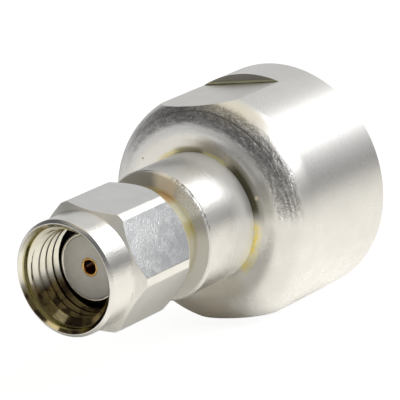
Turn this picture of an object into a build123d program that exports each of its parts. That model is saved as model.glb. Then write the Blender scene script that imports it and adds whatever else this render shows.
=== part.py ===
"""Coaxial adapter: a reverse-polarity SMA plug at one end and a threaded 7/16-28 coaxial plug at the other.

Both ends are male plugs with a coupling nut. Every piece is turned about the X axis.
X = 0 is the SMA reference plane, where the small plug's outer contact, insulator and contact end.
+X points out of the SMA end, and the big nut's wrench flats face up and down, along Z.
Millimetres.
"""
from build123d import *
import os

# Clearances and the overrun that lets a cutting tool pass through a face
running_clearance = 0.05
side_clearance = 0.05
overrun = 1.0

# Small plug, from the middle outwards: socket contact, insulator and outer contact
sma_pin_bore_radius = 0.46
sma_pin_bore_depth = 2.90
sma_socket_wall = 0.16
sma_socket_edge = 0.06
sma_slot_width = 0.16
sma_slot_length = 2.30
sma_socket_lip = 0.25
sma_shoulder_height = 0.33
sma_shoulder_length = 1.60
spigot_radius = 0.30
spigot_length = 1.80
sma_contact_inner_radius = 2.08
sma_contact_wall = 0.22
sma_contact_length = 6.20
sma_contact_edge = 0.07

# Small coupling nut, inside: the jack's tube goes between the outer contact and the thread
sma_jack_space = 0.60
sma_thread_relief = 0.60
sma_thread_lead = 0.30
sma_counterbore_depth = 0.60
sma_mouth_bevel = 0.26
sma_land_height = 0.35
sma_land_setback = 0.40
sma_land_length = 2.60

# Small coupling nut, outside: a round collar ahead of a hexagon
sma_nut_reach = 2.70
sma_nut_wall = 0.50
sma_corner_height = 0.47
sma_hex_turn = -14.3
sma_collar_step = 0.13
sma_collar_length = 2.30
sma_collar_edge = 0.20
sma_mouth_rim = 0.25
sma_front_bevel_length = 0.53
sma_rear_step = 0.03
sma_rear_bevel_length = 0.75

# Big plug, from the middle outwards: pin contact, insulator and outer contact
tnc_pin_radius = 0.685
tnc_pin_recess = 0.30
tnc_pin_point = 0.35
tnc_stalk_step = 0.415
tnc_insulator_recess = 0.50
tnc_socket_space_radius = 2.48
tnc_socket_space_depth = 4.20
tnc_contact_radius = 4.05
tnc_contact_wall = 0.50
tnc_contact_recess = 1.75
tnc_contact_edge = 0.15

# Big coupling nut, inside: the jack's tube goes between the outer contact and the thread
tnc_jack_space = 1.05
tnc_thread_relief = 0.90
tnc_thread_lead = 0.35
tnc_relief_spare = 0.50
tnc_mouth_widening = 0.80
tnc_mouth_bevel = 0.45
tnc_front_wall = 1.60

# Big coupling nut, outside: a round with two wrench flats
tnc_nut_length = 10.35
tnc_nut_wall = 1.95
tnc_front_round = 2.50
tnc_rear_edge = 0.15
tnc_flat_cut = 0.65
tnc_flat_length = 7.10

# Adapter body: a stem, a neck and a flange, bored through
stem_depth = 2.40
stem_shown = 1.72
neck_wall = 0.38
neck_shown = 4.88
neck_edge = 0.12
bead_seat_inset = 2.58
flange_clearance = 0.10
flange_length = 1.10

# Snap rings, which hold the small nut on the stem and the big nut on the neck
sma_ring_width = 0.40
sma_ring_wall = 0.46
sma_ring_gap = 0.90
sma_ring_inset = 1.05
tnc_ring_width = 0.45
tnc_ring_wall = 0.50
tnc_ring_gap = 1.30
tnc_ring_inset = 0.55
ring_bite_share = 0.45
groove_relief = 0.12
nut_float = 0.15

# Gaskets, each clear of the relief around it
gasket_grip = 0.02
sma_gasket_length = 0.70
sma_gasket_clearance = 0.20
tnc_gasket_length = 0.80
tnc_gasket_clearance = 0.70

# Radii worked out from the sizes above, each from the one inside it
sma_socket_radius = sma_pin_bore_radius + sma_socket_wall
sma_shoulder_radius = sma_socket_radius + sma_shoulder_height
sma_contact_outer_radius = sma_contact_inner_radius + sma_contact_wall
sma_thread_minor_radius = sma_contact_outer_radius + sma_jack_space
sma_relief_radius = sma_thread_minor_radius + sma_thread_relief
sma_gasket_radius = sma_relief_radius - sma_gasket_clearance
stem_radius = sma_relief_radius - sma_land_height - running_clearance
sma_hex_apothem = sma_relief_radius + sma_nut_wall
sma_hex_corner_radius = sma_hex_apothem + sma_corner_height
sma_collar_radius = sma_hex_apothem - sma_collar_step
sma_rear_radius = sma_hex_apothem - sma_rear_step
sma_mouth_radius = sma_collar_radius - sma_mouth_rim
tnc_stalk_radius = tnc_pin_radius + tnc_stalk_step
tnc_thread_minor_radius = tnc_contact_radius + tnc_jack_space
tnc_relief_radius = tnc_thread_minor_radius + tnc_thread_relief
tnc_gasket_radius = tnc_relief_radius - tnc_gasket_clearance
tnc_mouth_radius = tnc_thread_minor_radius + tnc_mouth_widening
tnc_nut_radius = tnc_relief_radius + tnc_nut_wall
tnc_flat_height = tnc_nut_radius - tnc_flat_cut
neck_radius = tnc_contact_radius + neck_wall
flange_radius = tnc_thread_minor_radius - flange_clearance

# Places along X worked out from the sizes above, from the small end to the big one
sma_nut_front = sma_nut_reach
stem_front = -stem_depth
sma_land_front = stem_front - sma_land_setback
sma_nut_rear = sma_land_front - sma_land_length
sma_ring_middle = sma_land_front - sma_ring_inset - sma_ring_width / 2
neck_front = sma_nut_rear - stem_shown
bead_seat = neck_front - bead_seat_inset
tnc_nut_front = neck_front - neck_shown
tnc_ring_middle = tnc_nut_front - tnc_ring_inset - tnc_ring_width / 2
tnc_relief_front = tnc_nut_front - tnc_front_wall
flange_front = tnc_relief_front - nut_float - side_clearance
flange_rear = flange_front - flange_length
tnc_gasket_rear = flange_rear - tnc_gasket_length
tnc_relief_rear = tnc_gasket_rear - tnc_relief_spare
tnc_nut_rear = tnc_nut_front - tnc_nut_length
tnc_contact_end = tnc_nut_rear + tnc_contact_recess
tnc_insulator_end = tnc_contact_end + tnc_insulator_recess
tnc_socket_space_floor = tnc_insulator_end + tnc_socket_space_depth
tnc_pin_tip = tnc_contact_end + tnc_pin_recess


def turned(outline):
    """Solid turned about the X axis from (x, radius) corners."""
    return revolve(make_face(Polyline(*outline, close=True)), Axis.X)


def tube(x_from, x_to, inner, outer):
    """Plain tube or, with no inner radius, plain bar between two places along X."""
    return turned([(x_from, inner), (x_to, inner), (x_to, outer), (x_from, outer)])


def ring_radii(shaft_radius, wall):
    """Inner and outer radius of a snap ring that bites into its shaft and stands out of it."""
    inner = shaft_radius - ring_bite_share * wall
    return inner, inner + wall


def snap_ring(middle, width, shaft_radius, wall, gap):
    """Split ring of rectangular section, its gap at the top."""
    inner, outer = ring_radii(shaft_radius, wall)
    ring = tube(middle - width / 2, middle + width / 2, inner, outer)
    opening = Pos(middle, 0, outer) * Box(width + overrun, gap, 2 * outer)
    return ring - opening


def shaft_groove(middle, width, shaft_radius, wall):
    """What is cut from a shaft, so that a snap ring can travel and be squeezed in for fitting."""
    reach = width / 2 + nut_float + side_clearance
    inner, outer = ring_radii(shaft_radius, wall)
    floor = inner - groove_relief
    return tube(middle - reach, middle + reach, floor, outer)


def nut_groove(middle, width, shaft_radius, wall):
    """What is cut from a nut's bore, so that its snap ring carries it and it still turns."""
    reach = width / 2 + running_clearance / 2
    inner, outer = ring_radii(shaft_radius, wall)
    return tube(middle - reach, middle + reach, inner, outer + groove_relief)


def sma_coupling_nut():
    """Hexagon with bevelled ends and a collar; the thread is a plain bore at its minor radius."""
    hex_front = sma_nut_front - sma_collar_length
    rim = sma_collar_radius - sma_collar_edge
    outside = turned([
        (sma_nut_front, 0), (sma_nut_front, rim), (sma_nut_front - sma_collar_edge, sma_collar_radius),
        (hex_front, sma_collar_radius), (hex_front - sma_front_bevel_length, sma_hex_corner_radius),
        (sma_nut_rear + sma_rear_bevel_length, sma_hex_corner_radius),
        (sma_nut_rear, sma_rear_radius), (sma_nut_rear, 0)])
    hexagon = RegularPolygon(sma_hex_apothem, 6, major_radius=False)
    bar = extrude(Plane.YZ * hexagon, sma_nut_front, dir=(1, 0, 0))
    bar += extrude(Plane.YZ * hexagon, -sma_nut_rear, dir=(-1, 0, 0))
    bar = Rot(sma_hex_turn, 0, 0) * bar
    counterbore = sma_mouth_radius - sma_mouth_bevel
    step = sma_nut_front - sma_counterbore_depth
    land_radius = stem_radius + running_clearance
    bore = turned([
        (sma_nut_front + overrun, 0), (sma_nut_front + overrun, sma_mouth_radius),
        (sma_nut_front, sma_mouth_radius), (sma_nut_front - sma_mouth_bevel, counterbore),
        (step, counterbore), (step - sma_thread_lead, sma_thread_minor_radius),
        (0, sma_thread_minor_radius), (0, sma_relief_radius),
        (sma_land_front, sma_relief_radius), (sma_land_front, land_radius),
        (sma_nut_rear - overrun, land_radius), (sma_nut_rear - overrun, 0)])
    groove = nut_groove(sma_ring_middle, sma_ring_width, stem_radius, sma_ring_wall)
    return (outside & bar) - bore - groove


def tnc_coupling_nut():
    """Round nut with a rounded front corner and two wrench flats; the thread is a plain bore."""
    hole_radius = neck_radius + running_clearance
    outside = turned([
        (tnc_nut_front, 0), (tnc_nut_front, tnc_nut_radius),
        (tnc_nut_rear + tnc_rear_edge, tnc_nut_radius),
        (tnc_nut_rear, tnc_nut_radius - tnc_rear_edge), (tnc_nut_rear, 0)])
    front_corner = outside.edges().filter_by(GeomType.CIRCLE).sort_by(Axis.X)[-1]
    outside = fillet(front_corner, tnc_front_round)
    cut_length = tnc_flat_length + overrun
    cut_middle = tnc_nut_front + overrun - cut_length / 2
    for side in (1, -1):
        place = Pos(cut_middle, 0, side * (tnc_flat_height + tnc_flat_cut))
        outside -= place * Box(cut_length, 2 * tnc_nut_radius, 2 * tnc_flat_cut)
    lead = tnc_mouth_radius - tnc_mouth_bevel
    bore = turned([
        (tnc_nut_front + overrun, 0), (tnc_nut_front + overrun, hole_radius),
        (tnc_relief_front, hole_radius), (tnc_relief_front, tnc_relief_radius),
        (tnc_relief_rear, tnc_relief_radius), (tnc_relief_rear, tnc_thread_minor_radius),
        (tnc_nut_rear + tnc_mouth_bevel + tnc_thread_lead, tnc_thread_minor_radius),
        (tnc_nut_rear + tnc_mouth_bevel, lead), (tnc_nut_rear, tnc_mouth_radius),
        (tnc_nut_rear - overrun, tnc_mouth_radius), (tnc_nut_rear - overrun, 0)])
    groove = nut_groove(tnc_ring_middle, tnc_ring_width, neck_radius, tnc_ring_wall)
    return outside - bore - groove


def adapter_body():
    """Stem, neck and flange in one turning, bored for the contacts and insulators of both ends."""
    outside = turned([
        (stem_front, 0), (stem_front, stem_radius), (neck_front, stem_radius),
        (neck_front, neck_radius - neck_edge), (neck_front - neck_edge, neck_radius),
        (flange_front, neck_radius), (flange_front, flange_radius),
        (flange_rear, flange_radius), (flange_rear, 0)])
    tnc_bore = tnc_contact_radius - tnc_contact_wall
    bore = turned([
        (stem_front + overrun, 0), (stem_front + overrun, sma_contact_outer_radius),
        (-sma_contact_length, sma_contact_outer_radius), (-sma_contact_length, sma_contact_inner_radius),
        (bead_seat, sma_contact_inner_radius), (bead_seat, tnc_bore),
        (flange_front, tnc_bore), (flange_front, tnc_contact_radius),
        (flange_rear - overrun, tnc_contact_radius), (flange_rear - overrun, 0)])
    body = outside - bore
    body -= shaft_groove(sma_ring_middle, sma_ring_width, stem_radius, sma_ring_wall)
    body -= shaft_groove(tnc_ring_middle, tnc_ring_width, neck_radius, tnc_ring_wall)
    return body


def sma_outer_contact():
    """Thin sleeve around the small insulator, its open end lightly bevelled."""
    inner, outer, edge = sma_contact_inner_radius, sma_contact_outer_radius, sma_contact_edge
    return turned([
        (0, inner + edge), (0, outer - edge), (-edge, outer),
        (-sma_contact_length, outer), (-sma_contact_length, inner), (-edge, inner)])


def sma_insulator():
    """Bar with a stepped hole: narrow round the socket, wider round its rear shoulder."""
    bar = tube(bead_seat, 0, 0, sma_contact_inner_radius)
    bar -= tube(bead_seat - overrun, overrun, 0, sma_socket_radius)
    return bar - tube(bead_seat - overrun, bead_seat + sma_shoulder_length, 0, sma_shoulder_radius)


def sma_socket_contact():
    """Socket slotted behind an unbroken lip, with a rear shoulder and a spigot for the other end's pin."""
    shoulder_front = bead_seat + sma_shoulder_length
    spigot_end = bead_seat - spigot_length
    edge = sma_socket_edge
    contact = turned([
        (0, 0), (0, sma_socket_radius - edge), (-edge, sma_socket_radius),
        (shoulder_front, sma_socket_radius), (shoulder_front, sma_shoulder_radius),
        (bead_seat, sma_shoulder_radius), (bead_seat, spigot_radius),
        (spigot_end, spigot_radius), (spigot_end, 0)])
    contact -= turned([
        (overrun, 0), (overrun, sma_pin_bore_radius + edge), (0, sma_pin_bore_radius + edge),
        (-edge, sma_pin_bore_radius), (-sma_pin_bore_depth, sma_pin_bore_radius),
        (-sma_pin_bore_depth, 0)])
    slot = Box(sma_slot_length, 2 * sma_socket_radius + overrun, sma_slot_width)
    return contact - Pos(-sma_socket_lip - sma_slot_length / 2, 0, 0) * slot


def tnc_outer_contact():
    """Sleeve pressed into the flange, its end bevelled inside and out."""
    inner, outer, edge = tnc_contact_radius - tnc_contact_wall, tnc_contact_radius, tnc_contact_edge
    return turned([
        (flange_front, inner), (flange_front, outer), (tnc_contact_end + edge, outer),
        (tnc_contact_end, outer - edge), (tnc_contact_end, inner + edge), (tnc_contact_end + edge, inner)])


def tnc_insulator():
    """Bar held in neck and sleeve, hollow at its end for the jack's own insulator."""
    bar = tube(tnc_insulator_end, bead_seat, 0, tnc_contact_radius - tnc_contact_wall)
    bar -= tube(tnc_insulator_end - overrun, tnc_socket_space_floor, 0, tnc_socket_space_radius)
    return bar - tube(tnc_socket_space_floor - overrun, bead_seat + overrun, 0, tnc_stalk_radius)


def tnc_pin_contact():
    """Stalk in the insulator, bored for the spigot, with a round-pointed pin standing out of it."""
    stalk = turned([
        (bead_seat, 0), (bead_seat, tnc_stalk_radius), (tnc_socket_space_floor, tnc_stalk_radius),
        (tnc_socket_space_floor, tnc_pin_radius), (tnc_pin_tip, tnc_pin_radius), (tnc_pin_tip, 0)])
    point = stalk.edges().filter_by(GeomType.CIRCLE).sort_by(Axis.X)[0]
    stalk = fillet(point, tnc_pin_point)
    return stalk - tube(bead_seat - spigot_length, bead_seat + overrun, 0, spigot_radius)


def gasket(x_from, x_to, shaft_radius, outer):
    """Flat rubber ring round a sleeve."""
    return tube(x_from, x_to, shaft_radius + gasket_grip, outer)


nodes = {
    "sma_coupling_nut": sma_coupling_nut(),
    "sma_snap_ring": snap_ring(sma_ring_middle, sma_ring_width, stem_radius, sma_ring_wall, sma_ring_gap),
    "sma_gasket": gasket(stem_front, stem_front + sma_gasket_length,
                         sma_contact_outer_radius, sma_gasket_radius),
    "sma_outer_contact": sma_outer_contact(),
    "sma_insulator": sma_insulator(),
    "sma_socket_contact": sma_socket_contact(),
    "adapter_body": adapter_body(),
    "tnc_coupling_nut": tnc_coupling_nut(),
    "tnc_snap_ring": snap_ring(tnc_ring_middle, tnc_ring_width, neck_radius, tnc_ring_wall, tnc_ring_gap),
    "tnc_gasket": gasket(tnc_gasket_rear, flange_rear, tnc_contact_radius, tnc_gasket_radius),
    "tnc_outer_contact": tnc_outer_contact(),
    "tnc_insulator": tnc_insulator(),
    "tnc_pin_contact": tnc_pin_contact(),
}

os.makedirs("parts", exist_ok=True)
for name, solid in nodes.items():
    export_step(solid, f"parts/{name}.step")
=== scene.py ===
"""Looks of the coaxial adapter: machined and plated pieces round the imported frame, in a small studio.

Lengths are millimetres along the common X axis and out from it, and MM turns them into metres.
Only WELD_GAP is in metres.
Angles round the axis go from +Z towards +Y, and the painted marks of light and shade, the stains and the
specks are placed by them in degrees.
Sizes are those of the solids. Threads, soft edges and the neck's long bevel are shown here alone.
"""
import math

import bmesh
import bpy
import numpy as np
from mathutils import Matrix


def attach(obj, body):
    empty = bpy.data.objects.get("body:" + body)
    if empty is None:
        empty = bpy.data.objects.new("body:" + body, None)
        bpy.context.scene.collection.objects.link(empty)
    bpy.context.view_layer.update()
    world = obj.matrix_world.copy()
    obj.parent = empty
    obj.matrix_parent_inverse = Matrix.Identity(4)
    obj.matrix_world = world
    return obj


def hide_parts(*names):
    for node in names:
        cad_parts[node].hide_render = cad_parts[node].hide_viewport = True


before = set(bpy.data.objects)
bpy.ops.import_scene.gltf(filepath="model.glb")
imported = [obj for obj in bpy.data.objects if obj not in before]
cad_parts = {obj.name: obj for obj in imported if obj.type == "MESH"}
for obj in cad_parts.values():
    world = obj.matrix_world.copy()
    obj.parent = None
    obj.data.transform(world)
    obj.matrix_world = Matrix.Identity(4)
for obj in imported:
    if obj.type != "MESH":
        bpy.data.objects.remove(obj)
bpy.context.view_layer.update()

MM = 0.001
TURN = 2 * math.pi
SHARP_ANGLE = math.radians(24)
WELD_GAP = 4e-7

# Small coupling nut, outside
NUT_FRONT = 2.70
NUT_REAR = -5.40
COLLAR_RADIUS = 3.87
COLLAR_EDGE = 0.20
HEX_FRONT = 0.40
HEX_APOTHEM = 4.00
HEX_CORNER = 4.47
HEX_ANGLE = math.radians(14.3)
HEX_REAR_RADIUS = 3.97
FRONT_BEVEL = 0.53
REAR_BEVEL = 0.75

# Small coupling nut, inside
MOUTH_RADIUS = 3.62
MOUTH_BEVEL = 0.26
COUNTERBORE_RADIUS = MOUTH_RADIUS - MOUTH_BEVEL
COUNTERBORE_END = NUT_FRONT - 0.60
SMALL_LEAD = 0.30
SMALL_THREAD_END = -0.60
SMALL_PITCH = 0.7056
SMALL_MINOR = 2.90
SMALL_MAJOR = 3.20
SMALL_RELIEF = 3.50
LAND_FRONT = -2.80
LAND_RADIUS = 3.15

# Big coupling nut, outside
BIG_FRONT = -12.00
BIG_REAR = -22.35
BIG_RADIUS = 7.95
BIG_ROUND = 2.50
BIG_REAR_EDGE = 0.15
FLAT_HEIGHT = 7.30
FLAT_END = -19.10
STEP_EDGE = 0.03

# Big coupling nut, inside
HOLE_RADIUS = 4.435
BIG_RELIEF = 6.00
BIG_RELIEF_FRONT = -13.60
BIG_RELIEF_REAR = -16.20
BIG_PITCH = 0.9071
BIG_MINOR = 5.10
BIG_MAJOR = 5.60
BIG_MOUTH_RADIUS = 5.90
BIG_MOUTH_BEVEL = 0.45
BIG_THREAD_END = BIG_REAR + BIG_MOUTH_BEVEL
BIG_LEAD = 0.35

# Adapter body
STEM_FRONT = -2.40
STEM_RADIUS = 3.10
NECK_FRONT = -7.12
NECK_RADIUS = 4.43
NECK_BEVEL_LENGTH = 0.24
NECK_BEVEL_HEIGHT = 0.16
FLANGE_FRONT = -13.80
FLANGE_REAR = -14.90
FLANGE_RADIUS = 5.00

# Middle of each snap ring, with half the width and the bottom of its groove in the body and in its nut
SMALL_RING = -4.05
SMALL_BODY_GROOVE = (0.40, 2.773)
SMALL_NUT_GROOVE = (0.225, 3.473)
BIG_RING = -12.775
BIG_BODY_GROOVE = (0.425, 4.085)
BIG_NUT_GROOVE = (0.25, 4.825)

# Contacts and insulators
SMALL_SLEEVE_RADIUS = 2.30
SMALL_BEAD_RADIUS = 2.08
SMALL_SLEEVE_END = -6.20
SMALL_SLEEVE_EDGE = 0.07
SOCKET_RADIUS = 0.62
SOCKET_EDGE = 0.06
SOCKET_BORE = 0.46
SOCKET_DEPTH = 2.90
SOCKET_LIP = 0.25
SLOT_LENGTH = 2.30
SLOT_WIDTH = 0.16
SHOULDER_FRONT = -8.10
SHOULDER_RADIUS = 0.95
BEAD_SEAT = -9.70
SPIGOT_RADIUS = 0.30
SPIGOT_END = -11.50
BIG_SLEEVE_RADIUS = 4.05
BIG_BAR_RADIUS = 3.55
BIG_SLEEVE_END = -20.60
BIG_SLEEVE_EDGE = 0.15
BIG_BAR_END = -20.10
BIG_HOLLOW_RADIUS = 2.48
BIG_HOLLOW_FLOOR = -15.90
STALK_RADIUS = 1.10
PIN_RADIUS = 0.685
PIN_TIP = -20.30
PIN_POINT = 0.35

# Gaskets
GASKET_GRIP = 0.02
SMALL_GASKET_FRONT = -1.70
SMALL_GASKET_RADIUS = 3.30
BIG_GASKET_REAR = -15.70
BIG_GASKET_RADIUS = 5.30

# Floor: it lies 0.05 mm above the big nut's lowest line, so that no light shows between them
FLOOR_MIDDLE = -8.0
FLOOR_HEIGHT = 0.05 - BIG_RADIUS
FLOOR_RADIUS = 600.0

# Camera, found by fitting the photograph
CAMERA_PLACE = (160.961, 135.960, 46.397)
CAMERA_AZIMUTH = 38.102
CAMERA_ELEVATION = 11.641
CAMERA_ROLL = -10.240
CAMERA_LENS = 305.96


# Outlines and meshes

def arc(before, corner, after, radius, steps):
    """Points of a rounded corner."""
    p = np.array(corner, float)
    a = np.array(before, float) - p
    b = np.array(after, float) - p
    la, lb = np.hypot(*a), np.hypot(*b)
    if la < 1e-6 or lb < 1e-6:
        return [tuple(p)] * (steps + 1)
    a, b = a / la, b / lb
    half = math.acos(max(-1.0, min(1.0, float(a @ b)))) / 2
    cut = 0.0 if half > 1.56 else min(radius / math.tan(half), 0.45 * la, 0.45 * lb)
    weight = math.sin(half)
    points = []
    for s in np.linspace(0, 1, steps + 1):
        w0, w1, w2 = (1 - s) ** 2, 2 * s * (1 - s) * weight, s * s
        points.append(tuple((w0 * (p + a * cut) + w1 * p + w2 * (p + b * cut)) / (w0 + w1 + w2)))
    return points


def rounded(corners):
    """Closed (x, r) outline; each corner is (x, r) kept sharp, or (x, r, radius, steps) rounded."""
    points = []
    for i, corner in enumerate(corners):
        if len(corner) == 2:
            points.append(corner)
            continue
        before, after = corners[i - 1][:2], corners[(i + 1) % len(corners)][:2]
        points += arc(before, corner[:2], after, corner[2], corner[3])
    return points


def groove(middle, reach, surface, bottom):
    """Corners of a square groove, from low x to high x, or the other way where the reach is negative."""
    start, end = middle - reach, middle + reach
    return [(start, surface), (start, bottom), (end, bottom), (end, surface)]


def soft_min(a, b, k):
    """Smaller of two lengths, with the change from one to the other rounded."""
    low = min(a, b)
    return low - k * math.log(math.exp((low - a) / k) + math.exp((low - b) / k))


def lathe(name, outline_at, angles):
    """Object whose closed (x, r) outline is set at each angle round the axis and joined up."""
    turns = list(angles) + [angles[0] + TURN]
    columns = [outline_at(a) for a in turns]
    count = len(columns[0])
    points = []
    for a, column in zip(turns, columns):
        points += [(x * MM, r * math.sin(a) * MM, r * math.cos(a) * MM) for x, r in column]
    faces = []
    for j in range(len(angles)):
        for i in range(count):
            k = (i + 1) % count
            faces.append((j * count + i, j * count + k, (j + 1) * count + k, (j + 1) * count + i))
    mesh = bpy.data.meshes.new(name)
    mesh.from_pydata(points, [], faces)
    bm = bmesh.new()
    bm.from_mesh(mesh)
    bmesh.ops.remove_doubles(bm, verts=bm.verts, dist=WELD_GAP)
    bmesh.ops.dissolve_degenerate(bm, edges=bm.edges, dist=WELD_GAP / 2)
    bmesh.ops.recalc_face_normals(bm, faces=bm.faces)
    for face in bm.faces:
        face.smooth = True
    for edge in bm.edges:
        edge.smooth = not edge.is_manifold or edge.calc_face_angle() < SHARP_ANGLE
    bm.to_mesh(mesh)
    bm.free()
    piece = bpy.data.objects.new(name, mesh)
    bpy.context.scene.collection.objects.link(piece)
    even = piece.modifiers.new("even normals", "WEIGHTED_NORMAL")
    even.keep_sharp = True
    even.weight = 80
    return piece


def turned(name, corners, count=128):
    """Object with the same outline all round."""
    outline = rounded(corners)
    return lathe(name, lambda a: outline, [TURN * i / count for i in range(count)])


def thread_rows(x_low, x_high, pitch, minor, major, bore):
    """Function of the angle that gives the (x, r) rows of a right-hand internal thread, by rising x.

    bore(x) is the least radius at a place, where a cone or counterbore opens the thread.
    """
    crest, flank, root = 0.25, 0.3125, 0.125
    stops = (0, 0.03, 0.22, 0.25, 0.28, 0.40, 0.53, 0.5625, 0.595, 0.655, 0.6875, 0.72, 0.84, 0.97)
    blur = 0.025
    turns = math.ceil((x_high - x_low) / pitch) + 1

    def depth(u):
        """Share of the full depth at a share of the pitch."""
        u = u % 1
        if u < crest:
            return 0.0
        if u < crest + flank:
            return (u - crest) / flank
        if u < crest + flank + root:
            return 1.0
        return (1 - u) / flank

    def rows(a):
        start = x_high + pitch - pitch * a / TURN
        points = []
        for t in range(-1, turns + 1):
            for u in stops:
                x = min(max(start - pitch * (t + u), x_low), x_high)
                r = bore(x)
                if x_low < x < x_high:
                    share = (depth(u - blur) + 2 * depth(u) + depth(u + blur)) / 4
                    r = max(r, minor + (major - minor) * share)
                points.append((x, r))
        return points[::-1]
    return rows


def paint(piece, materials, choose=None):
    """Gives the piece its materials; choose(x, y, z, normal) in millimetres picks one for each face."""
    for made in materials:
        piece.data.materials.append(made)
    if choose:
        for face in piece.data.polygons:
            x, y, z = (c / MM for c in face.center)
            face.material_index = choose(x, y, z, face.normal)


def fit(piece, body, slot, *nodes):
    """Puts the piece in the place of its nodes and on its body; the slot is not used."""
    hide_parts(*nodes)
    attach(piece, body)


# Shader arithmetic

class Num:
    """A number in a node tree that takes plain arithmetic."""

    def __init__(self, tree, socket):
        self.tree = tree
        self.socket = socket

    def math(self, kind, *others):
        node = self.tree.nodes.new("ShaderNodeMath")
        node.operation = kind
        for i, value in enumerate((self,) + others):
            if isinstance(value, Num):
                self.tree.links.new(value.socket, node.inputs[i])
            else:
                node.inputs[i].default_value = value
        return Num(self.tree, node.outputs[0])

    def __add__(self, other):
        return self.math("ADD", other)

    __radd__ = __add__

    def __sub__(self, other):
        return self.math("SUBTRACT", other)

    def __rsub__(self, other):
        return (self * -1) + other

    def __mul__(self, other):
        return self.math("MULTIPLY", other)

    __rmul__ = __mul__

    def __truediv__(self, other):
        return self.math("DIVIDE", other)

    def abs(self):
        return self.math("ABSOLUTE")

    def step(self, low, high):
        """0 at low, 1 at high, smooth between; low may be the larger."""
        node = self.tree.nodes.new("ShaderNodeMapRange")
        node.interpolation_type = "SMOOTHSTEP"
        self.tree.links.new(self.socket, node.inputs[0])
        ends = (low, high, 0.0, 1.0) if low < high else (high, low, 1.0, 0.0)
        for i, value in enumerate(ends):
            node.inputs[i + 1].default_value = value
        return Num(self.tree, node.outputs[0])

    def window(self, a, b, c, d):
        """0 up to a, 1 from b to c, 0 from d on."""
        return self.step(a, b) * self.step(d, c)

    def around(self, *degrees):
        """Step or window of an angle, its two or four stops in degrees."""
        stops = [math.radians(v) for v in degrees]
        return self.step(*stops) if len(stops) == 2 else self.window(*stops)

    def sector(self, middle, inner, outer):
        """1 within inner degrees of a direction, 0 beyond outer; the number itself is an angle."""
        near = (self - math.radians(middle)).math("COSINE")
        return near.step(math.cos(math.radians(outer)), math.cos(math.radians(inner)))


class Shader:
    """Builds one material or world out of numbers, colours and noise."""

    def __init__(self, owner):
        owner.use_nodes = True
        self.tree = owner.node_tree
        self.tree.nodes.clear()

    def node(self, kind, **settings):
        node = self.tree.nodes.new(kind)
        for key, value in settings.items():
            setattr(node, key, value)
        return node

    def put(self, socket, value):
        """Links or sets a socket."""
        if isinstance(value, Num):
            self.tree.links.new(value.socket, socket)
        elif hasattr(value, "is_output"):
            self.tree.links.new(value, socket)
        elif isinstance(value, tuple) and socket.type == "RGBA":
            socket.default_value = (*value, 1.0)
        else:
            socket.default_value = value

    def xyz(self, socket):
        node = self.node("ShaderNodeSeparateXYZ")
        self.put(node.inputs[0], socket)
        return [Num(self.tree, s) for s in node.outputs]

    def join(self, x, y, z):
        node = self.node("ShaderNodeCombineXYZ")
        for i, value in enumerate((x, y, z)):
            self.put(node.inputs[i], value)
        return node.outputs[0]

    def place(self):
        """Sets x, y, z and their point in millimetres, then radius and angle round the axis."""
        coords = self.node("ShaderNodeTexCoord").outputs["Object"]
        self.x, self.y, self.z = (c / MM for c in self.xyz(coords))
        self.point = self.join(self.x, self.y, self.z)
        self.r = (self.y * self.y + self.z * self.z).math("SQRT")
        self.a = self.y.math("ARCTAN2", self.z)

    def noise(self, vector, scale, detail=2.0, rough=0.5):
        node = self.node("ShaderNodeTexNoise")
        self.put(node.inputs["Vector"], vector)
        node.inputs["Scale"].default_value = scale
        node.inputs["Detail"].default_value = detail
        node.inputs["Roughness"].default_value = rough
        return Num(self.tree, node.outputs["Fac"])

    def rings(self, scale):
        """Turning marks: noise that changes along the axis and across it, and only slowly round it."""
        return self.noise(self.join(self.x, self.r, self.a * 0.12), scale, 3.0, 0.6)

    def mix(self, factor, a, b):
        node = self.node("ShaderNodeMix", data_type="RGBA")
        self.put(node.inputs[0], factor)
        self.put(node.inputs[6], a)
        self.put(node.inputs[7], b)
        return node.outputs[2]

    def layers(self, colour, *marks):
        """Lays marks over a colour, one after the other; each is (share, its colour)."""
        for share, tint in marks:
            colour = self.mix(share, colour, tint)
        return colour

    def ramp(self, value, low, high, stops):
        """Colour by value; each stop is (value, grey) or (value, red, green, blue)."""
        node = self.node("ShaderNodeValToRGB")
        bar = node.color_ramp
        spots = [(v - low) / (high - low) for v, *_ in stops]
        bar.elements[0].position, bar.elements[1].position = spots[0], spots[-1]
        for spot in spots[1:-1]:
            bar.elements.new(spot)
        for stop, (_, *colour) in zip(bar.elements, stops):
            stop.color = (*(colour if len(colour) == 3 else colour * 3), 1.0)
        self.put(node.inputs[0], (value - low) / (high - low))
        return node.outputs[0]

    def finish(self, base, roughness, height, depth, metallic=1.0):
        """Principled surface with its relief: height runs from 0 to 1, depth is in micrometres."""
        shader = self.node("ShaderNodeBsdfPrincipled")
        self.put(shader.inputs["Base Color"], base)
        self.put(shader.inputs["Roughness"], roughness)
        self.put(shader.inputs["Metallic"], metallic)
        bump = self.node("ShaderNodeBump")
        bump.inputs["Strength"].default_value = 1.0
        bump.inputs["Distance"].default_value = depth * 1e-6
        self.put(bump.inputs["Height"], height)
        self.put(shader.inputs["Normal"], bump.outputs[0])
        out = self.node("ShaderNodeOutputMaterial")
        self.put(out.inputs[0], shader.outputs[0])
        return shader


def material(name):
    """New material, with a shader that knows its place on the piece."""
    made = bpy.data.materials.new(name)
    s = Shader(made)
    s.place()
    return made, s


# Materials

def turned_plate(name, base=(0.80, 0.79, 0.765), rough=0.12):
    """Bright plate over fine turning."""
    made, s = material(name)
    grain = s.noise(s.point, 12.0, rough=0.6)
    cloud = s.noise(s.point, 0.9)
    colour = s.mix(cloud.step(0.35, 0.7), base, tuple(c * 0.95 for c in base))
    s.finish(colour, cloud * 0.08 + (rough - 0.04), s.rings(14.0) * 0.15 + grain * 0.85, 16.0)
    return made


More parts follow.
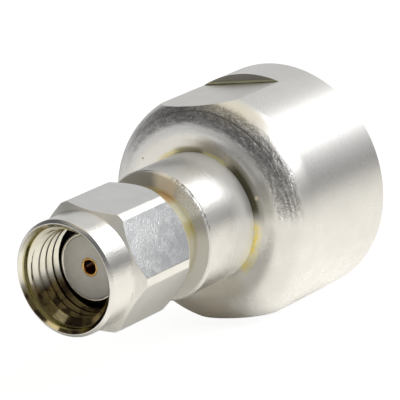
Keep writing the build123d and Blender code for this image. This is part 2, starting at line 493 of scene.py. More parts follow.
def satin_plate():
    """Hexagon faces: pitted like sand under the plating, with light and dark grains painted in as glints and
    sparkle; only the face towards +Y is fully rough.
    """
    made, s = material("small_nut_faces")
    grain = s.noise(s.point, 9.0, 3.0, 0.7)
    patch = s.noise(s.point, 0.8)
    rough_face = s.a.sector(74, 24, 31)
    rise = s.x.step(NUT_REAR + 0.6, HEX_FRONT - 1.2) * 0.5 + s.a.around(98, 58) * 0.5
    # Where the faces are sandy: it sets their relief, and where glints and sparkle are painted
    sand_and_sparkle = (rough_face * 0.85 + 0.15) * (rise * 0.75 + patch.step(0.62, 0.42) * 0.25 + 0.2)
    colour = s.layers(
        s.mix(patch.step(0.3, 0.7), (0.81, 0.81, 0.80), (0.77, 0.77, 0.765)),
        (rough_face, (0.73, 0.745, 0.76)),
        # Painted sparkle: darker grains, and bright grains painted as glints
        (sand_and_sparkle * grain.step(0.54, 0.42) * 0.25, (0.50, 0.52, 0.54)),
        (sand_and_sparkle * grain.step(0.60, 0.66), (0.96, 0.96, 0.97)))
    s.finish(colour, patch * 0.06 + 0.19, grain * sand_and_sparkle, 36.0)
    return made


def chamfer_plate():
    """Hexagon chamfers: satin, with a slight olive cast."""
    made, s = material("small_nut_chamfers")
    grain = s.noise(s.point, 11.0, rough=0.6)
    cloud = s.noise(s.point, 1.2)
    colour = s.mix(cloud.step(0.35, 0.7), (0.92, 0.90, 0.86), (0.86, 0.84, 0.79))
    s.finish(colour, cloud * 0.10 + 0.30, grain, 14.0, metallic=0.5)
    return made


def big_nut_plate():
    """Turned plate with a coarse rounded corner and a tool line; painted shade and a painted highlight round
    the hole, a painted dark reflection with painted glints on the corner, painted sparkle, yellow stains and
    a few specks.
    """
    made, s = material("big_nut_plate")
    x, r, a = s.x, s.r, s.a
    behind = BIG_FRONT - x
    # Marks on the front face, painted shade and light as well as stains, are measured from a little inside
    # the hole, so they reach its edge at full strength
    out = r - (HOLE_RADIUS - 0.135)
    grain = s.noise(s.point, 12.0, rough=0.6)
    coarse = s.noise(s.point, 6.5, 3.0, 0.75)
    drawn = s.noise(s.join(x, r, a * 2.2), 4.5, 3.0, 0.65)
    cloud = s.noise(s.point, 0.6)
    ragged = s.noise(s.point, 2.2, 1.0, 0.4).step(0.30, 0.60)

    corner = behind.step(1.7, 1.0) * r.step(6.0, 6.5) * a.around(-70, -30, 84, 101)
    # Painted dark reflection on the outer part of the rounded corner, mottled, with painted glints
    corner_dark_reflection = corner * r.step(7.82, 7.40)
    corner_mottle = (coarse * 0.5 + drawn * 0.5).step(0.56, 0.44)
    corner_glints = a.around(10, 50) * drawn.step(0.60, 0.66)
    tool_line = (r - 7.06 + cloud * 0.1 - 0.05).abs().step(0.07, 0.02) * corner
    # Painted sparkle on the face: bright flecks painted as glints, and grey flecks
    sparkle_flecks = a.around(108, 80) * cloud.step(0.36, 0.50) * 0.8
    front = behind.step(0.2, 0.05)

    def blot(first, last, low, high, soft):
        """Mark on the front face, between two angles in degrees and two distances out; it paints stains, and
        painted shade and light.
        """
        turn = a.around(first - soft, first + soft, last - soft, last + soft)
        return front * turn * out.window(low - 0.12, low + 0.06, high - 0.16, high + 0.16)

    def dot(degrees, radius, size):
        """Speck on the front face."""
        turn = math.radians(degrees)
        across, up = s.y - radius * math.sin(turn), s.z - radius * math.cos(turn)
        return front * (across * across + up * up).math("SQRT").step(size * 1.2, size * 0.6)

    # Yellow line on the hole's edge, painted bright as its highlight
    gold_edge_highlight = blot(17, 41, 0, 0.28, 3)
    # Painted shade: below the neck and at the low edge, where the face mirrors the floor's shadow, and on the
    # lower right of the face
    shade_low_edge = behind.step(2.2, 1.2) * a.sector(-165, 18, 32) * r.step(5.6, 6.4)
    shade_right_face = behind.step(1.6, 1.0) * a.around(92, 104, 130, 150) * r.window(5.3, 5.9, 7.1, 7.7)
    shade_below_neck = front * a.sector(172, 14, 26) * r.window(4.3, 4.6, 5.6, 6.3)
    colour = s.layers(
        s.mix(cloud.step(0.35, 0.7), (0.81, 0.802, 0.785), (0.78, 0.77, 0.75)),
        # Painted dark reflection and painted glints on the corner
        (corner_dark_reflection * (corner_mottle * 0.50 + 0.36), (0.30, 0.29, 0.285)),
        (corner_dark_reflection * corner_glints, (1.0, 1.0, 1.0)),
        (tool_line * coarse.step(0.40, 0.55) * 0.8, (0.22, 0.21, 0.20)),
        # Painted sparkle: glints and grey flecks
        (sparkle_flecks * grain.step(0.64, 0.70), (0.97, 0.97, 0.97)),
        (sparkle_flecks * grain.step(0.34, 0.28), (0.55, 0.55, 0.55)),
        (blot(-33, -6, 0, 0.42, 8) * 0.75, (0.66, 0.57, 0.24)),
        (blot(97, 143, 0, 0.72, 6) * (ragged * 0.5 + 0.45), (1.0, 0.93, 0.58)),
        (blot(99, 141, 0, 0.44, 5) * (ragged * 0.8 + 0.2), (0.97, 0.82, 0.28)),
        # Painted shade below the neck, at the low edge and on the lower right
        (shade_below_neck * 0.4, (0.60, 0.54, 0.40)),
        (shade_low_edge * 0.5, (0.58, 0.49, 0.36)),
        (shade_right_face * 0.45, (0.64, 0.63, 0.60)),
        # Painted shade round the neck's root, olive to near black, where the face mirrors the neck and its
        # shadow
        (blot(8, 60, 0, 1.00, 14) * (cloud * 0.5 + 0.40), (0.46, 0.40, 0.25)),
        (blot(-12, 17, 0, 0.48, 6) * 0.8, (0.20, 0.175, 0.07)),
        (blot(14, 34, 0.30, 1.30, 8) * 0.5, (0.40, 0.37, 0.33)),
        (blot(44, 93, 0, 1.00, 8) * (cloud * 0.4 + 0.55), (0.27, 0.265, 0.21)),
        (blot(67, 92, 0.80, 1.85, 5) * 0.6, (0.40, 0.395, 0.35)),
        # Painted highlight on the hole's yellow edge
        (gold_edge_highlight, (1.0, 0.94, 0.42)),
        # Painted shade, darkest, right of the neck
        (blot(46, 90, 0, 0.68, 6) * 0.9, (0.10, 0.09, 0.05)),
        (dot(76.9, 5.09, 0.17), (0.80, 0.70, 0.52)),
        (dot(-43, 5.57, 0.08), (0.36, 0.33, 0.28)))
    height = grain * 0.05 + (coarse * 0.55 + drawn * 0.45) * corner * 0.85 - tool_line * 0.12
    s.finish(colour, cloud * 0.08 + 0.24, height, 85.0, metallic=1 - gold_edge_highlight * 0.75)
    return made


def wrench_flat_plate():
    """The two flats: milled, duller than the turning round them."""
    made, s = material("wrench_flat_plate")
    grain = s.noise(s.point, 10.0, rough=0.6)
    cloud = s.noise(s.point, 0.7)
    colour = s.mix(cloud.step(0.35, 0.7), (0.81, 0.805, 0.79), (0.78, 0.77, 0.75))
    s.finish(colour, cloud * 0.06 + 0.36, grain, 8.0)
    return made


def flat_step_plate():
    """The step at the end of each flat: dark grey-olive, with the dull olive streaks the cutter left across
    and a painted line of shade in the crease at its foot.
    """
    made, s = material("flat_step_plate")
    streak = s.noise(s.join(s.x, s.y * 0.12, s.z), 7.0, rough=0.6)
    up = s.z.abs() - FLAT_HEIGHT + (streak - 0.5) * 0.10
    colour = s.layers(
        s.mix(up.step(0.20, 0.32), (0.30, 0.29, 0.23), (0.33, 0.32, 0.28)),
        (up.window(0.04, 0.07, 0.14, 0.20), (0.56, 0.54, 0.34)),
        # Painted shade in the crease at the foot of the step
        (up.step(0.035, 0.015), (0.10, 0.09, 0.06)))
    s.finish(colour, streak * 0.1 + 0.34, streak, 5.0)
    return made


def inner_plate(name, brown_below):
    """Thread and bore: cream above and darker brown below, with a painted gold highlight by the lead-in cone
    and painted olive shade on the counterbore wall.
    """
    made, s = material(name)
    cloud = s.noise(s.point, 1.1)
    # Darker brown towards the bottom
    low = (s.z + cloud * 0.8).step(0.3, -0.7) * brown_below
    out = s.r - COUNTERBORE_RADIUS
    ahead = s.x - COUNTERBORE_END
    # The counterbore wall, where painted olive shade goes and the painted highlight is left out
    shaded_band = out.window(-0.03, -0.01, 0.04, 0.08) * 0.8
    # Painted gold highlight by the lead-in cone, low on one side
    gleam = s.a.sector(-151, 6, 10) * ahead.step(-0.8, -0.5) * (1 - shaded_band)
    brown = s.layers(
        s.mix(cloud.step(0.42, 0.58), (0.36, 0.27, 0.11), (0.10, 0.065, 0.035)),
        (gleam, s.mix(out.step(0.09, 0.04), (1.0, 0.90, 0.62), (1.0, 0.84, 0.46))))
    # Painted olive shade on the counterbore wall
    olive = out.window(-0.05, -0.02, 0.04, 0.10) * ahead.step(-0.20, -0.05)
    colour = s.layers(
        s.mix(cloud.step(0.3, 0.7), (0.80, 0.78, 0.71), (0.75, 0.72, 0.61)),
        (low, brown),
        (olive * 0.85, (0.42, 0.38, 0.16)))
    s.finish(colour, cloud * 0.10 + 0.12, s.rings(20.0), 3.0)
    return made


def body_plate():
    """Neck painted white towards the big nut as its highlight, with a little painted shade there; a dull,
    mottled front face painted with light and shade by angle; and a brass yellow stem with its highlight
    painted on the lit side.
    """
    made, s = material("body_plate")
    turn = s.a.around
    behind = NECK_FRONT - s.x
    ahead = s.x - BIG_FRONT
    grain = s.noise(s.point, 12.0, rough=0.6)
    coarse = s.noise(s.point, 8.0, 3.0, 0.7)
    cloud = s.noise(s.point, 0.9)
    face = behind.step(0.18, 0.03)
    # Painted highlight: the neck white, rougher and less metallic towards the big nut
    near = ahead.step(2.8, 0.2)
    edge = behind.window(0.0, 0.08, 0.22, 0.28) * s.r.step(4.2, 4.28) * turn(20, 35, 80, 90)
    shade = ahead.step(1.0, 0.2) * turn(52, 66, 84, 92)
    brass = s.r.step(3.5, 3.15) * s.x.step(STEM_FRONT - 0.1, STEM_FRONT - 0.2)
    lit_stem = turn(34, 48, 66, 76)

    # The neck's front face, painted by angle as light falls: a tan painted reflection of the stem at the top,
    # painted glints beside it, lighter below, and darker shade elsewhere
    sparkle = s.mix(coarse.step(0.44, 0.54), (0.80, 0.79, 0.78), (1.0, 1.0, 1.0))
    face_colour = s.layers(
        s.mix(turn(5, 18, 32, 48), (0.42, 0.395, 0.36), (1.0, 0.91, 0.76)),
        (turn(62, 70, 170, 179), (0.61, 0.60, 0.61)),
        (turn(32, 44, 66, 74), sparkle),
        (turn(80, 94, 170, 179), (0.92, 0.91, 0.87)))
    stem_colour = s.layers(
        s.mix(turn(10, 24, 38, 48), (0.76, 0.68, 0.34), (0.88, 0.64, 0.34)),
        (lit_stem, (1.0, 0.97, 0.74)),
        (turn(78, 100, 160, 179), (0.80, 0.77, 0.64)))
    colour = s.layers(
        s.mix(cloud.step(0.35, 0.7), (0.83, 0.82, 0.80), (0.79, 0.78, 0.75)),
        # Painted highlight on the neck towards the big nut
        (near, (1.0, 1.0, 0.995)),
        (face, face_colour),
        (edge * coarse.step(0.52, 0.46), (0.30, 0.29, 0.28)),
        (shade * 0.3, (0.14, 0.13, 0.09)),
        (brass, stem_colour))

    rough = cloud * 0.06 + 0.15 + face * 0.24 + near * 0.08
    # A rise towards the big nut tilts the shading to +X, so the neck mirrors bright light up to there
    flare = (3.8 - ahead).math("MAXIMUM", 0.0)
    height = grain * 0.25 + coarse * face * 0.9 + flare * flare * 0.17
    metallic = 0.82 - near * 0.66 - face * 0.42 - brass * lit_stem * 0.5
    s.finish(colour, rough, height, 60.0, metallic)
    return made


def gold_plate():
    """Gold plate, red in the shade of the socket's bore."""
    made, s = material("gold_plate")
    cloud = s.noise(s.point, 4.0)
    inside = s.r.step(SOCKET_BORE + 0.04, SOCKET_BORE) * s.x.step(-SOCKET_DEPTH - 0.1, -SOCKET_DEPTH)
    colour = s.layers(
        s.mix(cloud.step(0.3, 0.7), (0.86, 0.60, 0.20), (0.80, 0.46, 0.11)),
        (inside, s.mix(cloud.step(0.35, 0.6), (0.72, 0.30, 0.12), (0.42, 0.08, 0.03))))
    s.finish(colour, cloud * 0.12 + 0.2, s.rings(22.0), 1.5)
    return made


def ptfe():
    """White insulator, slightly translucent."""
    made, s = material("ptfe")
    cloud = s.noise(s.point, 1.4, 3.0, 0.55)
    colour = s.mix(cloud.step(0.3, 0.7), (0.95, 0.93, 0.88), (0.90, 0.87, 0.81))
    shader = s.finish(colour, cloud * 0.1 + 0.42, s.rings(12.0), 2.0, metallic=0.0)
    shader.inputs["Subsurface Weight"].default_value = 0.25
    shader.inputs["Subsurface Scale"].default_value = 0.0004
    shader.inputs["Subsurface Radius"].default_value = (1.0, 0.9, 0.8)
    return made


def rubber():
    """Near-black gasket."""
    made, s = material("rubber")
    cloud = s.noise(s.point, 5.0, 3.0, 0.6)
    colour = s.mix(cloud, (0.045, 0.04, 0.035), (0.02, 0.018, 0.016))
    s.finish(colour, cloud * 0.15 + 0.5, cloud, 6.0, metallic=0.0)
    return made


def spring_metal():
    """Copper alloy of the snap rings."""
    made, s = material("spring_metal")
    cloud = s.noise(s.point, 2.5)
    colour = s.mix(cloud.step(0.3, 0.7), (0.80, 0.60, 0.36), (0.70, 0.50, 0.28))
    s.finish(colour, cloud * 0.1 + 0.25, s.rings(18.0), 2.0)
    return made


# Pieces

def hex_angles():
    """Columns of the small nut: close together where a face meets its corner strip."""
    edge = math.degrees(math.acos(HEX_APOTHEM / HEX_CORNER))
    half = [0, 4, 8, 12, 16, 20, 23.5] + [edge + off for off in (-1.0, -0.45, -0.2, 0, 0.2, 0.45, 1.0)]
    local = sorted({side * v for side in (-1, 1) for v in half}) + [30.0]
    return sorted((HEX_ANGLE + math.radians(60 * k + v)) % TURN for k in range(6) for v in local)


def small_nut():
    """Hexagon with turned corner strips, bevels and a collar, round a threaded bore."""
    lead_start = COUNTERBORE_END - SMALL_LEAD

    def bore(x):
        share = max(0.0, (x - lead_start) / SMALL_LEAD)
        return SMALL_MINOR + share * (COUNTERBORE_RADIUS - SMALL_MINOR)

    rows = thread_rows(SMALL_THREAD_END, COUNTERBORE_END, SMALL_PITCH, SMALL_MINOR, SMALL_MAJOR, bore)

    def outline(a):
        off = (a - HEX_ANGLE + math.pi / 6) % (math.pi / 3) - math.pi / 6
        side = soft_min(HEX_APOTHEM / math.cos(off), HEX_CORNER, 0.008)
        front = HEX_FRONT - FRONT_BEVEL * (side - COLLAR_RADIUS) / (HEX_CORNER - COLLAR_RADIUS)
        rear = NUT_REAR + REAR_BEVEL * (side - HEX_REAR_RADIUS) / (HEX_CORNER - HEX_REAR_RADIUS)
        outer = rounded([
            (NUT_FRONT, MOUTH_RADIUS, 0.03, 2), (NUT_FRONT, COLLAR_RADIUS - COLLAR_EDGE, 0.05, 3),
            (NUT_FRONT - COLLAR_EDGE, COLLAR_RADIUS, 0.08, 3), (HEX_FRONT, COLLAR_RADIUS, 0.05, 2),
            (front, side, 0.05, 3), (rear, side, 0.05, 3), (NUT_REAR, HEX_REAR_RADIUS, 0.06, 3),
            (NUT_REAR, LAND_RADIUS, 0.08, 3),
            *groove(SMALL_RING, SMALL_NUT_GROOVE[0], LAND_RADIUS, SMALL_NUT_GROOVE[1]),
            (LAND_FRONT, LAND_RADIUS, 0.04, 1), (LAND_FRONT, SMALL_RELIEF),
            (SMALL_THREAD_END, SMALL_RELIEF), (SMALL_THREAD_END, SMALL_MINOR)])
        mouth = arc((COUNTERBORE_END, COUNTERBORE_RADIUS), (NUT_FRONT - MOUTH_BEVEL, COUNTERBORE_RADIUS),
                    (NUT_FRONT, MOUTH_RADIUS), 0.03, 2)
        return outer + rows(a) + mouth

    plate, face, inside, chamfer = range(4)

    def choose(x, y, z, normal):
        r = math.hypot(y, z)
        if r < MOUTH_RADIUS - 0.01 and (x > COUNTERBORE_END + 0.1 or r < SMALL_RELIEF + 0.02):
            return inside
        if r > COLLAR_RADIUS + 0.02 and abs(normal.x) > 0.2:
            return chamfer
        if HEX_FRONT > x > NUT_REAR and abs(normal.x) < 0.02 and r < HEX_CORNER - 0.02:
            return face
        return plate

    piece = lathe("hex_coupling_nut", outline, hex_angles())
    paint(piece, [turned_plate("small_nut_plate"), satin_plate(), inner_plate("small_nut_inside", 1.0),
                  chamfer_plate()], choose)
    fit(piece, "sma_nut", "nut_plating", "sma_coupling_nut")


def big_nut_angles():
    """Columns of the big nut: even ones, and close ones at the edges of the flats."""
    flat_edge = math.degrees(math.acos(FLAT_HEIGHT / BIG_RADIUS))
    degrees = set(np.arange(0, 360, 2.0).tolist())
    for middle in (0, 180):
        for side in (-1, 1):
            for off in (-0.9, -0.4, -0.15, 0, 0.15, 0.4, 0.9):
                degrees.add((middle + side * (flat_edge + off)) % 360)
    return sorted(math.radians(v) for v in degrees)


def big_nut():
    """Round nut with a rounded front corner and two flats, round a threaded bore."""
    fine, coarse = 240, 24
    corner = arc((BIG_FRONT, 0), (BIG_FRONT, BIG_RADIUS), (BIG_REAR, BIG_RADIUS), BIG_ROUND, fine)
    corner_x, corner_r = np.array(corner).T
    lane = np.linspace(0, 1, len(corner))

    def bore(x):
        return BIG_MINOR + max(0.0, BIG_THREAD_END + BIG_LEAD - x)

    rows = thread_rows(BIG_THREAD_END, BIG_RELIEF_REAR, BIG_PITCH, BIG_MINOR, BIG_MAJOR, bore)

    def outline(a):
        upright = abs(math.cos(a))
        side = soft_min(FLAT_HEIGHT / upright if upright > 0.5 else math.inf, BIG_RADIUS, 0.003)
        top = np.interp(side, corner_r, lane) if side < BIG_RADIUS - 1e-4 else 1.0
        shares = np.linspace(0, top, coarse + 1)
        round_part = list(zip(np.interp(shares, lane, corner_x), np.interp(shares, lane, corner_r)))
        round_part[-1] = (round_part[-1][0], side)
        foot, head = min(side + STEP_EDGE, BIG_RADIUS), BIG_RADIUS - STEP_EDGE
        if side > BIG_RADIUS - 2 * STEP_EDGE:
            foot = head = side
        step = [
            (FLAT_END + STEP_EDGE, side), (FLAT_END, foot),
            (FLAT_END, head), (FLAT_END - STEP_EDGE, BIG_RADIUS)]
        rear = rounded([
            step[-1], (BIG_REAR + BIG_REAR_EDGE, BIG_RADIUS, 0.05, 3),
            (BIG_REAR, BIG_RADIUS - BIG_REAR_EDGE, 0.05, 3), (BIG_REAR, BIG_MOUTH_RADIUS, 0.05, 2),
            (BIG_THREAD_END, BIG_MINOR + BIG_LEAD, 0.03, 1), (BIG_THREAD_END + 0.1, BIG_MINOR + 0.3)])[1:-1]
        front = rounded([
            (BIG_RELIEF_REAR, BIG_MINOR), (BIG_RELIEF_REAR, BIG_RELIEF),
            (BIG_RELIEF_FRONT, BIG_RELIEF), (BIG_RELIEF_FRONT, HOLE_RADIUS),
            *groove(BIG_RING, BIG_NUT_GROOVE[0], HOLE_RADIUS, BIG_NUT_GROOVE[1]),
            (BIG_FRONT, HOLE_RADIUS, 0.01, 1), (BIG_FRONT, BIG_MINOR)])[:-1]
        return round_part + step + rear + rows(a) + front

    plate, inside, flat, flat_step = range(4)

    def choose(x, y, z, normal):
        if math.hypot(y, z) < BIG_MOUTH_RADIUS and x < BIG_FRONT - 0.15:
            return inside
        if abs(z) > FLAT_HEIGHT - 0.02 and abs(normal.z) > 0.99 and x > FLAT_END:
            return flat
        if abs(z) > FLAT_HEIGHT - 0.02 and normal.x > 0.5 and abs(x - FLAT_END) < 0.05:
            return flat_step
        return plate

    piece = lathe("round_coupling_nut", outline, big_nut_angles())
    paint(piece, [big_nut_plate(), inner_plate("big_nut_inside", 0.35), wrench_flat_plate(),
                  flat_step_plate()], choose)
    fit(piece, "tnc_nut", "nut_plating", "tnc_coupling_nut")


def body():
    """Stem, neck and flange in one turning."""
    piece = turned("adapter_turning", [
        (STEM_FRONT, SMALL_SLEEVE_RADIUS), (STEM_FRONT, STEM_RADIUS, 0.10, 3),
        *groove(SMALL_RING, -SMALL_BODY_GROOVE[0], STEM_RADIUS, SMALL_BODY_GROOVE[1]),
        (NECK_FRONT, STEM_RADIUS, 0.06, 2), (NECK_FRONT, NECK_RADIUS - NECK_BEVEL_HEIGHT, 0.06, 3),
        (NECK_FRONT - NECK_BEVEL_LENGTH, NECK_RADIUS, 0.06, 3),
        *groove(BIG_RING, -BIG_BODY_GROOVE[0], NECK_RADIUS, BIG_BODY_GROOVE[1]),
        (FLANGE_FRONT, NECK_RADIUS), (FLANGE_FRONT, FLANGE_RADIUS, 0.05, 2),
        (FLANGE_REAR, FLANGE_RADIUS, 0.05, 2), (FLANGE_REAR, BIG_SLEEVE_RADIUS),
        (FLANGE_FRONT, BIG_SLEEVE_RADIUS), (FLANGE_FRONT, BIG_BAR_RADIUS), (BEAD_SEAT, BIG_BAR_RADIUS),
        (BEAD_SEAT, SMALL_BEAD_RADIUS), (SMALL_SLEEVE_END, SMALL_BEAD_RADIUS),
        (SMALL_SLEEVE_END, SMALL_SLEEVE_RADIUS)], 160)
    paint(piece, [body_plate()])
    fit(piece, "adapter", "body_plating", "adapter_body")


def small_sleeve():
    """Outer contact of the small plug."""
    inner, outer, edge = SMALL_BEAD_RADIUS, SMALL_SLEEVE_RADIUS, SMALL_SLEEVE_EDGE
    piece = turned("small_outer_sleeve", [
        (0, inner + edge, 0.03, 2), (0, outer - edge, 0.03, 2), (-edge, outer, 0.03, 2),
        (SMALL_SLEEVE_END, outer), (SMALL_SLEEVE_END, inner), (-edge, inner, 0.03, 2)])
    paint(piece, [turned_plate("sleeve_plate", (0.80, 0.76, 0.70), 0.22)])
    fit(piece, "adapter", "contact_plating", "sma_outer_contact")


def small_insulator(white):
    """White bead round the socket."""
    piece = turned("small_insulator_bead", [
        (0, SOCKET_RADIUS, 0.03, 2), (0, SMALL_BEAD_RADIUS, 0.04, 2), (BEAD_SEAT, SMALL_BEAD_RADIUS),
        (BEAD_SEAT, SHOULDER_RADIUS), (SHOULDER_FRONT, SHOULDER_RADIUS), (SHOULDER_FRONT, SOCKET_RADIUS)], 96)
    paint(piece, [white])
    fit(piece, "adapter", "ptfe", "sma_insulator")


def cut_slot(piece):
    """Cuts the slot across the socket, behind its lip."""
    mesh = bpy.data.meshes.new("slot_cutter")
    bm = bmesh.new()
    middle = Matrix.Translation((-(SOCKET_LIP + SLOT_LENGTH / 2) * MM, 0, 0))
    sides = (SLOT_LENGTH * MM, (2 * SOCKET_RADIUS + 1.0) * MM, SLOT_WIDTH * MM, 1.0)
    bmesh.ops.create_cube(bm, size=1.0, matrix=middle @ Matrix.Diagonal(sides))
    bm.to_mesh(mesh)
    bm.free()
    cutter = bpy.data.objects.new("slot_cutter", mesh)
    bpy.context.scene.collection.objects.link(cutter)
    cut = piece.modifiers.new("slot", "BOOLEAN")
    cut.operation = "DIFFERENCE"
    cut.object = cutter
    cut.solver = "EXACT"
    piece.modifiers.move(1, 0)
    bpy.context.view_layer.update()
    shaped = bpy.data.meshes.new_from_object(piece.evaluated_get(bpy.context.evaluated_depsgraph_get()))
    piece.modifiers.clear()
    whole = piece.data
    piece.data = shaped
    bpy.data.meshes.remove(whole)
    bpy.data.objects.remove(cutter)


def socket_contact(gold):
    """Slotted socket with its rear shoulder and spigot."""
    piece = turned("slotted_socket", [
        (0, SOCKET_BORE + SOCKET_EDGE, 0.01, 1), (0, SOCKET_RADIUS - SOCKET_EDGE, 0.02, 2),
        (-SOCKET_EDGE, SOCKET_RADIUS, 0.02, 2), (SHOULDER_FRONT, SOCKET_RADIUS),
        (SHOULDER_FRONT, SHOULDER_RADIUS, 0.04, 2), (BEAD_SEAT, SHOULDER_RADIUS, 0.04, 2),
        (BEAD_SEAT, SPIGOT_RADIUS), (SPIGOT_END, SPIGOT_RADIUS, 0.05, 2), (SPIGOT_END, 0),
        (-SOCKET_DEPTH, 0), (-SOCKET_DEPTH, SOCKET_BORE, 0.03, 2), (-SOCKET_EDGE, SOCKET_BORE, 0.02, 2)], 72)
    cut_slot(piece)
    paint(piece, [gold])
    fit(piece, "adapter", "gold", "sma_socket_contact")


def gasket(name, node, black, rear, front, inner, outer, soft, count):
    """Rubber ring with rounded outer corners."""
    piece = turned(name, [
        (rear, inner, 0.05, 2), (rear, outer, soft, 4),
        (front, outer, soft, 4), (front, inner, 0.05, 2)], count)
    paint(piece, [black])
    fit(piece, "adapter", "gasket_rubber", node)


def big_sleeve():
    """Outer contact of the big plug."""
    inner, outer, end, edge = BIG_BAR_RADIUS, BIG_SLEEVE_RADIUS, BIG_SLEEVE_END, BIG_SLEEVE_EDGE
    piece = turned("big_outer_sleeve", [
        (FLANGE_FRONT, inner), (FLANGE_FRONT, outer), (end + edge, outer, 0.03, 2),
        (end, outer - edge, 0.03, 2), (end, inner + edge, 0.03, 2), (end + edge, inner, 0.03, 2)])
    paint(piece, [turned_plate("big_sleeve_plate", (0.80, 0.77, 0.70), 0.22)])
    fit(piece, "adapter", "contact_plating", "tnc_outer_contact")


def big_insulator(white):
    """White bar in the neck and the big sleeve, hollow at its end."""
    piece = turned("big_insulator_bar", [
        (BEAD_SEAT, STALK_RADIUS), (BEAD_SEAT, BIG_BAR_RADIUS, 0.04, 1),
        (BIG_BAR_END, BIG_BAR_RADIUS, 0.05, 2), (BIG_BAR_END, BIG_HOLLOW_RADIUS, 0.06, 2),
        (BIG_HOLLOW_FLOOR, BIG_HOLLOW_RADIUS, 0.05, 2), (BIG_HOLLOW_FLOOR, STALK_RADIUS)], 112)
    paint(piece, [white])
    fit(piece, "adapter", "ptfe", "tnc_insulator")


def pin_contact(gold):
    """Stalk and round-pointed pin of the big plug."""
    piece = turned("big_centre_pin", [
        (BEAD_SEAT, SPIGOT_RADIUS), (BEAD_SEAT, STALK_RADIUS), (BIG_HOLLOW_FLOOR, STALK_RADIUS, 0.05, 2),
        (BIG_HOLLOW_FLOOR, PIN_RADIUS, 0.05, 2), (PIN_TIP, PIN_RADIUS, PIN_POINT, 6), (PIN_TIP, 0),
        (SPIGOT_END, 0), (SPIGOT_END, SPIGOT_RADIUS)], 72)
    paint(piece, [gold])
    fit(piece, "adapter", "gold", "tnc_pin_contact")


def snap_rings():
    """The rings keep the solids' own shape and get their metal."""
    metal = spring_metal()
    for node in ("sma_snap_ring", "tnc_snap_ring"):
        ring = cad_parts[node]
        if not ring.material_slots:
            ring.data.materials.append(metal)
        for place in ring.material_slots:
            place.material = metal


# Stage, light and camera

def ray_kinds(s):
    """Whether a ray comes from the camera, and whether it is one that shows the background."""
    path = s.node("ShaderNodeLightPath")
    camera_ray = Num(s.tree, path.outputs["Is Camera Ray"])
    shown = camera_ray
    for kind in ("Is Glossy Ray", "Is Transmission Ray"):
        shown = shown.math("MAXIMUM", Num(s.tree, path.outputs[kind]))
    return camera_ray, shown


def studio_floor():
    """Pale paper; as mirrors and bounced light see it, its tone is painted on as light, bright cream near the
    object and dimmer farther out; its glow is only seen, and lights nothing.
    """
    bm = bmesh.new()
    bmesh.ops.create_circle(bm, cap_ends=True, segments=96, radius=FLOOR_RADIUS * MM)
    for vert in bm.verts:
        vert.co.x += FLOOR_MIDDLE * MM
        vert.co.z = FLOOR_HEIGHT * MM
    mesh = bpy.data.meshes.new("studio_floor")
    bm.to_mesh(mesh)
    bm.free()
    floor = bpy.data.objects.new("studio_floor", mesh)
    bpy.context.scene.collection.objects.link(floor)

    made, s = material("pale_floor")
    ahead = s.x - FLOOR_MIDDLE
    out = (ahead * ahead + s.y * s.y).math("SQRT")
    # Painted light on the paper as mirrors see it: bright near the object and dimmer farther out, more slowly
    # towards +X and -Y
    far = s.ramp(out, 0, FLOOR_RADIUS, (
        (0, 1.0, 0.985, 0.945), (22, 1.0, 0.985, 0.945), (38, 0.88, 0.87, 0.83), (72, 0.58, 0.575, 0.56),
        (143, 0.37), (300, 0.28), (600, 0.26)))
    near = s.ramp(out, 0, FLOOR_RADIUS, (
        (0, 1.0, 0.985, 0.945), (30, 0.98, 0.965, 0.92), (70, 0.87, 0.85, 0.81),
        (150, 0.78, 0.765, 0.73), (600, 0.72)))
    cream = s.mix(s.y.math("ARCTAN2", ahead).sector(-45, 45, 85), far, near)
    # Mirrors see no glow right under the object
    under = s.x.window(-26, -20, 3, 10) * s.y.window(-18, -9, 0.8, 3.8)
    camera_ray, shown = ray_kinds(s)
    paper = s.node("ShaderNodeBsdfDiffuse")
    s.put(paper.inputs["Color"], s.mix(camera_ray, cream, (0.3, 0.3, 0.3)))
    glow = s.node("ShaderNodeEmission")
    s.put(glow.inputs["Color"], s.mix(camera_ray, cream, (1.0, 1.0, 1.0)))
    s.put(glow.inputs["Strength"], shown * (1 - under) * 0.40 + camera_ray * (under * 0.40 + 0.50))
    both = s.node("ShaderNodeAddShader")
    s.put(both.inputs[0], paper.outputs[0])
    s.put(both.inputs[1], glow.outputs[0])
    end = s.node("ShaderNodeOutputMaterial")
    s.put(end.inputs[0], both.outputs[0])
    floor.data.materials.append(made)


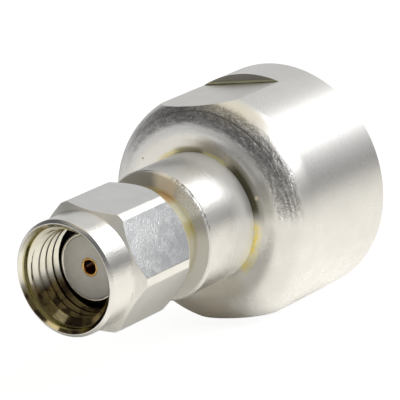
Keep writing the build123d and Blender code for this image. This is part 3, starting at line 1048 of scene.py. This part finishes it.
def studio_light():
    """Softbox on the right, warm ceiling, dim room; the pale wall behind is only seen, and lights nothing."""
    world = bpy.data.worlds.new("studio")
    bpy.context.scene.world = world
    s = Shader(world)
    x, y, z = s.xyz(s.node("ShaderNodeTexCoord").outputs["Generated"])
    elevation = z.math("ARCSINE") * math.degrees(1)
    azimuth = y.math("ARCTAN2", x)
    camera_ray, shown = ray_kinds(s)

    def heights(*stops):
        """Colour by degrees above the horizon, up to the warm ceiling."""
        return s.ramp(elevation, -90, 90, stops + ((90, 0.90, 0.82, 0.64),))

    front = heights((-90, 0.30), (0, 0.34), (10, 0.26), (20, 0.18), (45, 0.17), (58, 0.32),
                    (66, 0.60, 0.54, 0.42))
    left = heights((-90, 0.72), (4, 0.74), (11, 0.64), (20, 0.38), (29, 0.15), (55, 0.10), (64, 0.32),
                   (75, 0.80, 0.72, 0.55))
    right = heights((-90, 0.28), (0, 0.28), (5, 0.37), (12, 0.56), (18, 0.84), (22, 1.3), (26, 3.0),
                    (42, 3.0), (52, 1.2), (60, 0.90, 0.84, 0.70))
    wall = heights((-90, 0.65), (5, 0.65), (12, 0.70), (20, 0.62), (28, 0.60), (38, 0.70),
                   (60, 0.88, 0.84, 0.72))
    colour = s.layers(
        front,
        (azimuth.sector(-78, 44, 58), left),
        (azimuth.sector(-170, 32, 50) * shown, wall),
        (azimuth.sector(122, 28, 54), right),
        (camera_ray, (1.0, 1.0, 1.0)))
    sky = s.node("ShaderNodeBackground")
    s.put(sky.inputs["Color"], colour)
    sky.inputs["Strength"].default_value = 1.0
    end = s.node("ShaderNodeOutputWorld")
    s.put(end.inputs[0], sky.outputs[0])


def camera():
    """Long lens on the photographer's side, turned by azimuth, elevation and roll in degrees."""
    data = bpy.data.cameras.new("camera")
    data.lens = CAMERA_LENS
    data.sensor_width = 36.0
    data.clip_start = 0.01
    data.clip_end = 10.0
    view = bpy.data.objects.new("camera", data)
    bpy.context.scene.collection.objects.link(view)
    place = Matrix.Translation([v * MM for v in CAMERA_PLACE])
    turn = Matrix.Rotation(math.radians(CAMERA_AZIMUTH + 90), 4, "Z")
    tilt = Matrix.Rotation(math.radians(90 - CAMERA_ELEVATION), 4, "X")
    roll = Matrix.Rotation(math.radians(CAMERA_ROLL), 4, "Z")
    view.matrix_world = place @ turn @ tilt @ roll
    bpy.context.scene.camera = view


gold, white, black = gold_plate(), ptfe(), rubber()
small_nut()
big_nut()
body()
small_sleeve()
small_insulator(white)
socket_contact(gold)
gasket("small_gasket", "sma_gasket", black, STEM_FRONT, SMALL_GASKET_FRONT,
       SMALL_SLEEVE_RADIUS + GASKET_GRIP, SMALL_GASKET_RADIUS, 0.14, 96)
big_sleeve()
big_insulator(white)
pin_contact(gold)
gasket("big_gasket", "tnc_gasket", black, BIG_GASKET_REAR, FLANGE_REAR,
       BIG_SLEEVE_RADIUS + GASKET_GRIP, BIG_GASKET_RADIUS, 0.16, 112)
snap_rings()
studio_floor()
studio_light()
camera()
bpy.context.scene.view_settings.view_transform = "Standard"
